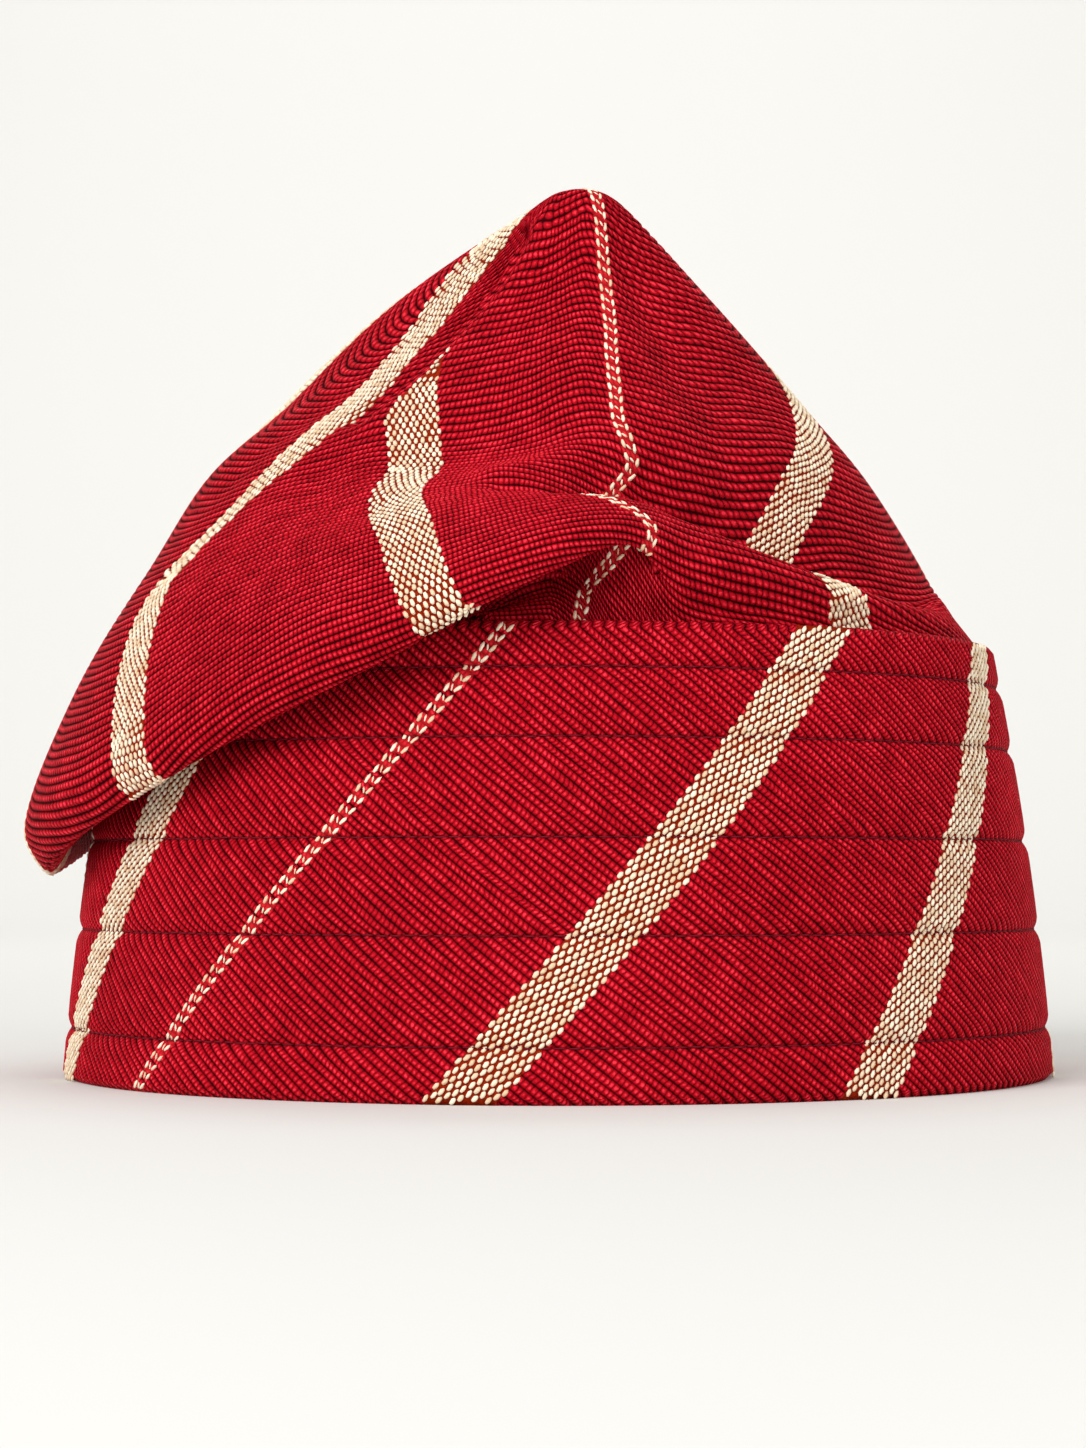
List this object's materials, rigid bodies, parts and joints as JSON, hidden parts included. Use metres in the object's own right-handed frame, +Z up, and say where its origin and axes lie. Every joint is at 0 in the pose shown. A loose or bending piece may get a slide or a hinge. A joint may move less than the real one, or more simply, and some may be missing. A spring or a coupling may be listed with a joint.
{
  "type": "fila cap",
  "caption": "Soft peaked cloth cap with a quilted round band and a crown folded down over it on one side, open below for the head.",
  "frame": {"origin": "middle of the cap's outline, on the surface that its rim rests on", "axes": "+Z up towards the peak, the front of the cap towards -Y, the hanging flap on the -X side"},
  "size_m": [0.1936, 0.201, 0.163],
  "materials": {
    "band_cloth": "ribbed hand-woven red cloth with slanting cream stripes, quilted in rows",
    "crown_cloth": "ribbed hand-woven red cloth with cream stripes that run up to the peak"
  },
  "bodies": {
    "root": {"band": "band_cloth", "crown": "crown_cloth"}
  },
  "joints": []
}
